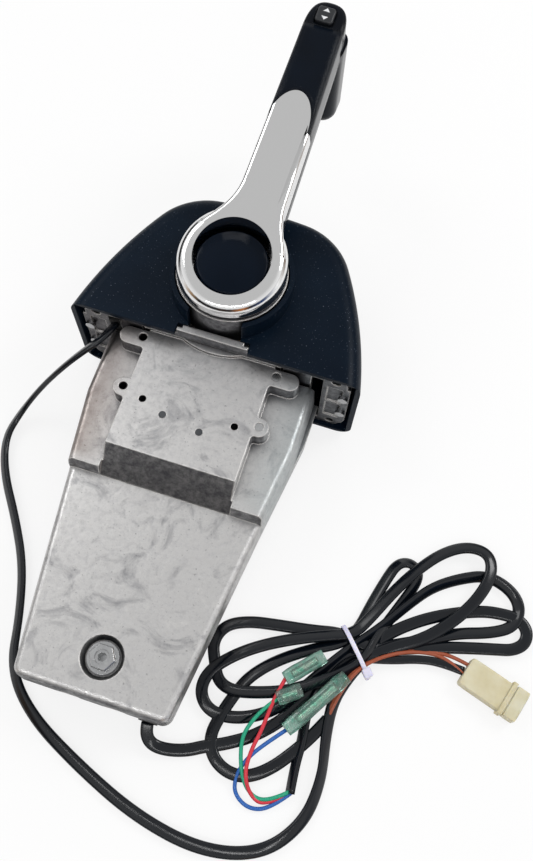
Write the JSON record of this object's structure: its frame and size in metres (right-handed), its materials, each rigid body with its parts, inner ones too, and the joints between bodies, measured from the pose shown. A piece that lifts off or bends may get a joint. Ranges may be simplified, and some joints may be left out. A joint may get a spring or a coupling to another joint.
{
  "type": "boat throttle control lever",
  "caption": "Top-mount single-lever boat engine control with domed cover, lever with push button and trim rocker, cast housing below the deck frame, and wiring leads.",
  "frame": {"origin": "middle of the footprint, without the leads, on the surface that the control lies on", "axes": "+Y up out of the deck when installed and along the lever, +X fore and aft, +Z out of the lever side, along the hub axis"},
  "size_m": [0.3394, 0.4494, 0.1356],
  "materials": {
    "bronze": "machined",
    "button_plastic": "satin gloss",
    "cast_aluminium": "cast, mottled",
    "chrome_plate": "polished",
    "clamp_metal": "satin",
    "connector_nylon": "satin",
    "cord_sheath": "satin",
    "cover_plastic": "satin speckled navy",
    "grip_plastic": "gloss",
    "grommet_rubber": "matte",
    "rocker_plastic": "satin",
    "sleeve_plastic": "translucent",
    "stainless": "satin",
    "steel": "machined",
    "switch_plastic": "matte",
    "tie_nylon": "translucent"
  },
  "bodies": {
    "housing": {"base_frame": "cast_aluminium", "cable_clamp": "clamp_metal", "cable_tie": "tie_nylon", "clamp_stud": "stainless", "connector": "connector_nylon", "connector_lead": "cord_sheath", "cover_screws": "stainless", "dowel_pins": "steel", "flange_nut": "stainless", "frame_bolts": "stainless", "front_bush": "bronze", "hank": "cord_sheath", "housing_back": "cast_aluminium", "housing_front": "cast_aluminium", "housing_screws": "stainless", "lead_a": "cord_sheath", "lead_a_tail": "cord_sheath", "lead_b": "cord_sheath", "lead_clip": "grommet_rubber", "lead_grommet": "grommet_rubber", "neutral_switch": "switch_plastic", "rear_bush": "bronze", "sector_pivot": "steel", "sleeve_a": "sleeve_plastic", "sleeve_b": "sleeve_plastic", "sleeve_c": "sleeve_plastic", "top_cover": "cover_plastic"},
    "lever": {"lever_arm": "chrome_plate", "grip": "grip_plastic", "switch_bezel": "grip_plastic", "lever_shaft": "steel", "drive_gear": "steel", "lever_bolt": "steel", "rocker_pin": "steel", "trim_switch": "grip_plastic", "grip_screws": "stainless", "button_spring": "steel"},
    "shift_sector": {"shift_sector": "steel"},
    "throttle_sector": {"throttle_sector": "steel"},
    "throttle_button": {"throttle_button": "button_plastic"},
    "trim_rocker": {"trim_rocker": "rocker_plastic"}
  },
  "joints": [
    {"name": "lever_turn", "type": "hinge", "parent": "housing", "child": "lever", "pos_m": [-0.0015, 0.0399, 0.05], "axis": [0, 0, 1], "range_deg": [-85, 85]},
    {"name": "shift_turn", "type": "hinge", "parent": "housing", "child": "shift_sector", "pos_m": [-0.0015, -0.0051, 0.031], "axis": [0, 0, 1], "range_deg": [-42.5, 42.5]},
    {"name": "throttle_turn", "type": "hinge", "parent": "housing", "child": "throttle_sector", "pos_m": [-0.0015, -0.0051, 0.039], "axis": [0, 0, 1], "range_deg": [-42.5, 42.5]},
    {"name": "button_press", "type": "slide", "parent": "lever", "child": "throttle_button", "axis": [0, 0, -1], "range_m": [0, 0.005], "stiffness_N_per_m": 600, "springref_m": -0.004, "deforming": ["button_spring"]},
    {"name": "rocker_tilt", "type": "hinge", "parent": "lever", "child": "trim_rocker", "pos_m": [0.00545, 0.18803, 0.12909], "axis": [0.9992, -0.0401, 0], "range_deg": [-8, 8], "stiffness_Nm_per_rad": 0.05}
  ],
  "couplings": [
    {"joint": "shift_turn", "follows": "lever_turn", "ratio": -0.5},
    {"joint": "throttle_turn", "follows": "lever_turn", "ratio": -0.5}
  ]
}
